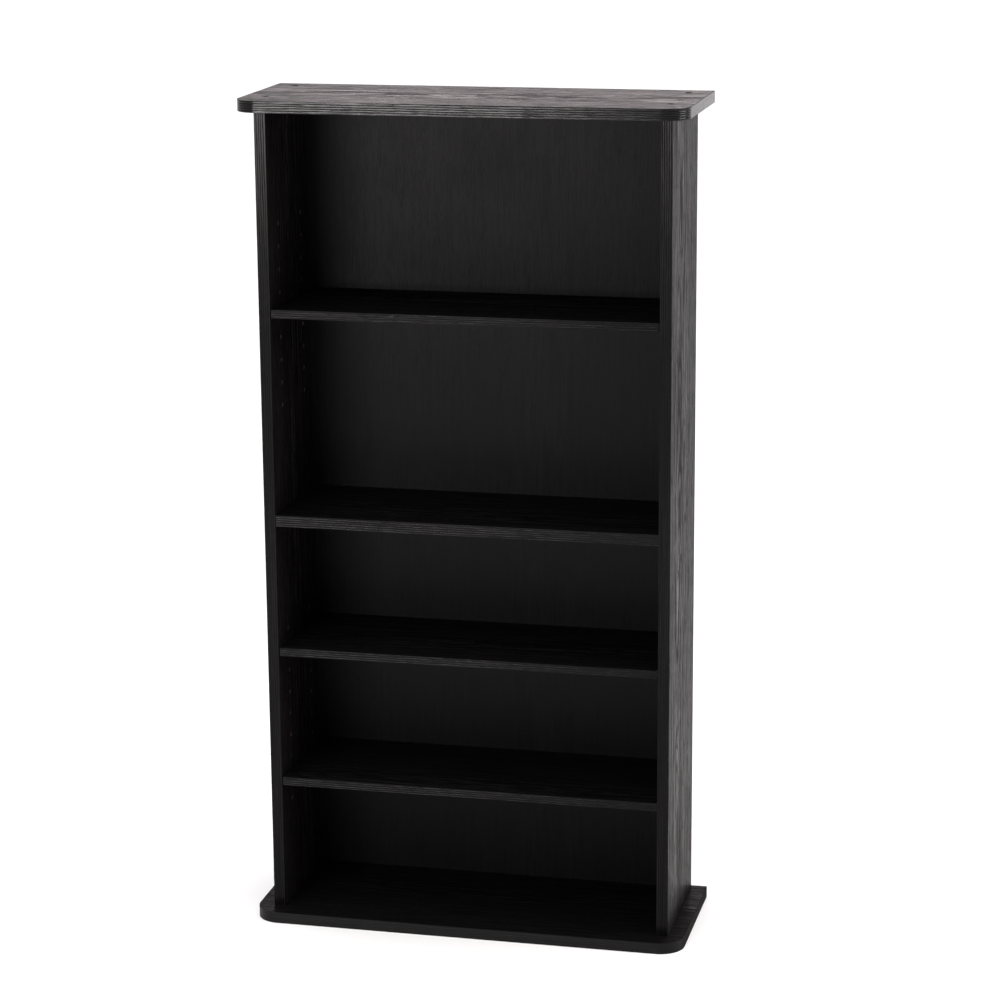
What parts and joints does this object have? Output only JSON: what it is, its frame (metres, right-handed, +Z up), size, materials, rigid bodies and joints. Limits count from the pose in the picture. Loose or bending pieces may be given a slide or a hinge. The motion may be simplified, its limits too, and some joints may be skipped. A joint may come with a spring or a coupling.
{
  "type": "disc storage tower",
  "caption": "Open upright storage tower in black wood-grain board with overhanging round-cornered top and base, a fixed middle shelf and loose shelves on pins for disc cases.",
  "frame": {"origin": "on the floor under the middle of the base, at the middle of its width and depth", "axes": "+Z up, -Y to the open front, +X to the right of someone facing the open front"},
  "size_m": [0.493, 0.182, 0.933],
  "materials": {
    "black_ash_board": "black ash wood-grain laminate on particleboard, satin, fine embossed grain",
    "edge_band": "black edging strip with fine embossed lines along it, satin",
    "hardboard": "black faced hardboard, smooth and dull in front, brown and fibrous behind",
    "black_screw": "black oxide screw steel, satin",
    "beech_dowel": "plain turned beech, unfinished",
    "fitting_steel": "zinc plated steel",
    "fitting_zinc": "die-cast zinc, dull",
    "pin_nickel": "nickel plated steel, satin"
  },
  "bodies": {
    "carcass": {"base_panel": "black_ash_board", "top_panel": "black_ash_board", "left_side_panel": "black_ash_board", "right_side_panel": "black_ash_board", "fixed_shelf": "black_ash_board", "base_edge_band": "edge_band", "top_edge_band": "edge_band", "left_side_edge_band": "edge_band", "right_side_edge_band": "edge_band", "fixed_shelf_edge_band": "edge_band", "back_panel": "hardboard", "top_screws": "black_screw", "base_screws": "black_screw", "top_dowels": "beech_dowel", "base_dowels": "beech_dowel", "fixed_shelf_dowels": "beech_dowel", "cam_bolts": "fitting_steel", "cam_locks": "fitting_zinc", "upper_shelf_pins": "pin_nickel", "lower_shelf_pins": "pin_nickel", "lowest_shelf_pins": "pin_nickel"},
    "upper_shelf": {"upper_shelf": "black_ash_board", "upper_shelf_edge_band": "edge_band"},
    "lower_shelf": {"lower_shelf": "black_ash_board", "lower_shelf_edge_band": "edge_band"},
    "lowest_shelf": {"lowest_shelf": "black_ash_board", "lowest_shelf_edge_band": "edge_band"}
  },
  "joints": [
    {"name": "upper_shelf_slide", "type": "slide", "parent": "carcass", "child": "upper_shelf", "axis": [0, -1, 0], "range_m": [0, 0.16]},
    {"name": "lower_shelf_slide", "type": "slide", "parent": "carcass", "child": "lower_shelf", "axis": [0, -1, 0], "range_m": [0, 0.16]},
    {"name": "lowest_shelf_slide", "type": "slide", "parent": "carcass", "child": "lowest_shelf", "axis": [0, -1, 0], "range_m": [0, 0.16]}
  ]
}
